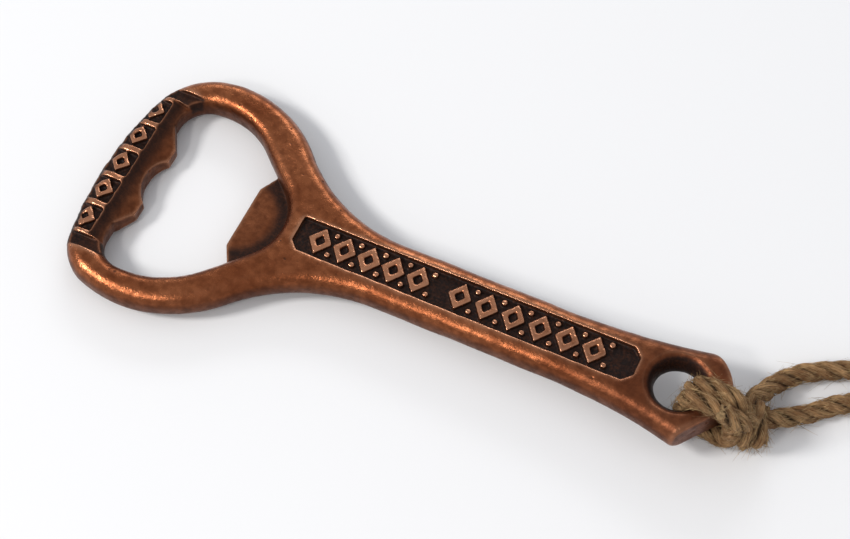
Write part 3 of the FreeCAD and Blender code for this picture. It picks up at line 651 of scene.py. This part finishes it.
# Rounds of smoothing: to round the CAD's edges off, and to find small and wide hollows.
SMOOTH_ROUNDS = 4
FINE_ROUNDS = 14
WIDE_ROUNDS = 90


def evaluated_mesh(obj):
    """The object's mesh with its modifiers applied."""
    return bpy.data.meshes.new_from_object(obj.evaluated_get(bpy.context.evaluated_depsgraph_get()))


def remeshed(node, voxel):
    """Copy of a CAD node's mesh as an even net of small faces."""
    source = link(bpy.data.objects.new("remesh_source", frame["nodes"][node].data.copy()))
    remesh = source.modifiers.new("remesh", "REMESH")
    remesh.mode = "VOXEL"
    remesh.voxel_size = voxel
    mesh = evaluated_mesh(source)
    bpy.data.objects.remove(source)
    return mesh


def thin_out(obj, limit):
    """Give an object of four-sided faces a mesh of at most limit triangles, with its layers."""
    thin = obj.modifiers.new("thin", "DECIMATE")
    thin.ratio = min(1, limit / (2 * len(obj.data.polygons)))
    mesh = evaluated_mesh(obj)
    obj.modifiers.clear()
    obj.data = mesh


class Neighbours:
    """Averages a value over each vertex's neighbours."""

    def __init__(self, mesh):
        pairs = np.empty(len(mesh.edges) * 2, np.int32)
        mesh.edges.foreach_get("vertices", pairs)
        self.a, self.b = pairs.reshape(-1, 2).T
        self.count = len(mesh.vertices)
        self.degree = np.bincount(np.concatenate([self.a, self.b]), minlength=self.count)

    def mean(self, values):
        columns = values.reshape(self.count, -1)
        sums = [np.bincount(self.a, column[self.b], self.count)
                + np.bincount(self.b, column[self.a], self.count) for column in columns.T]
        return (np.stack(sums, axis=1) / self.degree[:, None]).reshape(values.shape)

    def smooth(self, values, rounds, share=0.5):
        for _ in range(rounds):
            values = values + share * (self.mean(values) - values)
        return values


def hollowness(net, points, normals, rounds):
    """Millimetres that each point lies in a hollow, or less than 0 on a ridge, as smoothing shows it."""
    return np.sum((net.smooth(points, rounds) - points) * normals, axis=1) / MM


# ---------------------------------------------------------------- casting: masks
# A step() of x, y or z runs between two places on the casting, in millimetres in its own frame, and
# a step() of up runs between two rises of the normal, which is 1 where it points straight up.
LIP_CENTRE_X = -32.3
LIP_RADIUS = 9.5
BORE_RADIUS = 5.7
GROOVE_GRIME = 0.95
# Dark oxide and painted shade on the bore's walls.
BORE_OXIDE_AND_SHADE = 0.97
# How much darker the side walls are painted than the tops.
FLANK_DARKENING = 0.58
# Painted shade that deepens from the middle of the handle towards the tail's end.
TAIL_SHADE = 0.50


def panel_mask(p):
    """1 inside the outline of the handle's recessed panel."""
    x, y, z = p.T
    between_ends = step(-20.2, -19.6, x) * step(41.0, 40.4, x)
    return between_ends * step(3.45, 3.0, np.abs(y)) * step(3.5, 4.2, z)


def bar_mask(p):
    """1 on the top of the crossbar that holds the row of cells."""
    x, y, z = p.T
    return step(-50.6, -51.4, x) * step(17.6, 17.0, np.abs(y)) * step(2.5, 3.8, z)


def crossbar_grime(x, y, z):
    """The crossbar's slope on the mouth's side, darkest beside the cells, and its two end grooves."""
    beside = np.abs(y)
    slope = step(-51.6, -51.0, x) * step(-46.4, -47.8, x) * step(15.2, 14.4, beside) * step(1.2, 2.2, z)
    slope *= 0.38 + 0.56 * step(-47.8, -50.4, x)
    in_groove = step(17.5, 17.1, beside) * step(14.7, 15.1, beside)
    grooves = step(-46.2, -46.8, x) * in_groove * step(2.0, 3.0, z)
    return np.maximum(slope, GROOVE_GRIME * grooves)


def lip_grime(x, y, z, up):
    """The sunken half-moon lip, darkest in a crescent along its round wall."""
    from_wall = LIP_RADIUS - np.hypot(x - LIP_CENTRE_X, y)
    lip = step(-30.6, -29.8, x) * step(3.9, 3.4, z) * step(-21.0, -22.0, x) * step(0.5, 0.9, up)
    return lip * (0.34 + 0.62 * step(3.0, 1.2, from_wall + 0.10 * (x + 26)))


def grime_and_shade(p, up):
    """How dark the casting is painted: oxide on the crossbar and the lip, oxide and painted shade in the
    bore, darker side walls, and painted shade towards the tail; up is the normal's rise.
    """
    x, y, z = p.T
    in_bore = step(BORE_RADIUS + 0.6, BORE_RADIUS, np.hypot(x - HOLE_X, y))
    # The bore's walls: dark oxide and painted shade.
    bore = BORE_OXIDE_AND_SHADE * in_bore * step(0.93, 0.70, up)
    # Side walls painted darker than the tops, by the normal's rise.
    flank = FLANK_DARKENING * step(0.70, 0.25, up)
    # Painted shade, deepening towards the tail's end.
    tail = TAIL_SHADE * step(10, 50, x)
    return np.maximum.reduce([crossbar_grime(x, y, z), lip_grime(x, y, z, up), bore, flank, tail])


# ---------------------------------------------------------------- casting: relief, in millimetres
PIT_COUNT = 150
PIT_DEPTH = 0.13
PIT_RADIUS = (0.16, 0.42)
PIT_STRENGTH = (0.4, 1.0)


def pits(local):
    """1 at the middle of small round dents scattered over the casting, fading to 0 at their rims."""
    dice = np.random.default_rng(SEED + 7)
    pit = np.zeros(len(local))
    for index in dice.choice(len(local), PIT_COUNT, replace=False):
        radius = dice.uniform(*PIT_RADIUS)
        distance = np.linalg.norm(local - local[index], axis=1)
        pit = np.maximum(pit, step(radius, 0.25 * radius, distance) * dice.uniform(*PIT_STRENGTH))
    return pit


def cast_relief(local, bar, sunk):
    """Slow waves over the whole casting, grain that is coarser on sunken floors, a rougher crossbar."""
    # Each term is a height times a random field, whose waves have the length that it is given.
    wave, swell, stipple, speck = Grain(SEED), Grain(SEED + 1), Grain(SEED + 2), Grain(SEED + 3)
    lift = 0.07 * swell(local, 5.5) + 0.035 * wave(local, 2.1)
    lift += (0.012 + 0.045 * sunk) * stipple(local, 0.42) + (0.006 + 0.02 * sunk) * speck(local, 0.24)
    return lift + bar * 0.10 * wave(local + 31, 1.1)


def make_casting():
    """The casting as a fine net with softened edges, relief, and the layers that its material reads."""
    mesh = remeshed("opener_casting", VOXEL * MM)
    net = Neighbours(mesh)
    points = net.smooth(points_of(mesh), SMOOTH_ROUNDS)
    put_points(mesh, points)
    local = level(points)
    normals = normals_of(mesh)
    fine = hollowness(net, points, normals, FINE_ROUNDS)
    wide = hollowness(net, points, normals, WIDE_ROUNDS)

    top, bar = CAST_THICKNESS, bar_mask(local)
    sunk_panel = panel_mask(local) * step(top - 0.2, top - 0.6, local[:, 2])
    sunk = np.maximum(sunk_panel, bar * step(top - 0.15, top - 0.55, local[:, 2]))
    pit = pits(local)
    lift = cast_relief(local, bar, sunk) - PIT_DEPTH * pit

    points = points + normals * (lift * MM)[:, None]
    points[:, 2] = np.maximum(points[:, 2], 0)
    put_points(mesh, points)
    mesh.polygons.foreach_set("use_smooth", [True] * len(mesh.polygons))

    add_layer(mesh, "hollow", step(0.015, 0.11, fine) * 0.6 + step(0.02, 0.28, wide) * 0.7)
    add_layer(mesh, "ridge", step(0.01, 0.10, -fine))
    # The crest layer marks the rounded crests, where the material paints rubbed copper and a highlight.
    add_layer(mesh, "crest", step(0.06, 0.26, -wide))
    add_layer(mesh, "sunk", sunk)
    # Dark oxide together with painted shade in the bore and towards the tail, and the darker side walls.
    add_layer(mesh, "grime_and_shade", grime_and_shade(local, normals @ CAST_UP))
    add_layer(mesh, "pit", pit)
    piece = link(bpy.data.objects.new("casting", mesh))
    thin_out(piece, TRIANGLE_LIMIT)
    return piece


# ---------------------------------------------------------------- casting: material
COPPER_BROWN = (0.265, 0.078, 0.030, 1)
COPPER_RED = (0.400, 0.135, 0.056, 1)
COPPER_STAIN = (0.105, 0.029, 0.011, 1)
# Lighter rubbed copper for the rounded crests, bright enough to paint in the highlight that runs along them.
COPPER_RUBBED_HIGHLIGHT = (0.66, 0.300, 0.160, 1)
COPPER_WORN = (0.50, 0.245, 0.145, 1)
OXIDE = (0.010, 0.005, 0.004, 1)


def copper_material():
    """Antiqued copper: brown skin, bright worn ridges, rubbed copper with a painted highlight on the rounded
    crests, black oxide in the hollows, and the painted shade and darkening that the grime_and_shade layer
    carries.
    """
    n = Nodes("antique_copper")
    hollow, ridge, sunk, pit, grimy_and_shaded = (n.layer(name) for name in ("hollow", "ridge", "sunk", "pit", "grime_and_shade"))
    crest = n.math("MULTIPLY", n.layer("crest"), n.math("SUBTRACT", 1.0, grimy_and_shaded), clamp=True)
    mottle = n.noise(700, 5)
    fleck = n.noise(2600, 4, low=0.42, high=0.72)

    skin = n.mix(n.noise(130, 3), COPPER_BROWN, COPPER_RED)
    skin = n.over(skin, mottle, 0.66, COPPER_STAIN)
    # Rubbed copper and a painted highlight along the rounded crests.
    skin = n.over(skin, crest, n.ramp(mottle, 0.0, 1.0, 0.85, 0.35), COPPER_RUBBED_HIGHLIGHT)
    worn = n.math("MULTIPLY", ridge, n.ramp(mottle, 0.0, 1.0, 0.55, 1.0))
    skin = n.mix(worn, skin, COPPER_WORN)

    # Oxide here also carries the painted shade in the bore and towards the tail, and the darker side walls.
    oxide = n.math("MAXIMUM", n.math("MULTIPLY", hollow, 0.85), sunk)
    oxide = n.math("MAXIMUM", oxide, n.math("MAXIMUM", grimy_and_shaded, n.math("MULTIPLY", pit, 0.9)))
    oxide = n.math("MULTIPLY", oxide, n.ramp(fleck, 0, 1, 1.0, 0.88), clamp=True)
    unworn = n.math("SUBTRACT", 1.0, n.math("MULTIPLY", ridge, 0.8))
    oxide = n.math("MULTIPLY", oxide, unworn, clamp=True)
    n.feed(n.shader.inputs["Base Color"], n.mix(oxide, skin, OXIDE))
    n.feed(n.shader.inputs["Metallic"], n.ramp(oxide, 0.2, 1.0, 1.0, 0.5))
    n.feed(n.shader.inputs["Specular IOR Level"], 0.22)

    rough = n.math("ADD", n.ramp(mottle, 0, 1, 0.23, 0.36), n.math("MULTIPLY", oxide, 0.22))
    rough = n.math("SUBTRACT", rough, n.math("MULTIPLY", worn, 0.05))
    rough = n.math("SUBTRACT", rough, n.math("MULTIPLY", crest, 0.05), clamp=True)
    n.feed(n.shader.inputs["Roughness"], rough)
    grain = n.bump(n.noise(3200, 3, low=0.3, high=0.7), 0.03 * MM, 0.6)
    n.feed(n.shader.inputs["Normal"], n.bump(mottle, 0.05 * MM, 0.5, grain))
    return n.material


casting = make_casting()
casting.data.materials.clear()
casting.data.materials.append(copper_material())
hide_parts("opener_casting")
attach(casting, "opener")
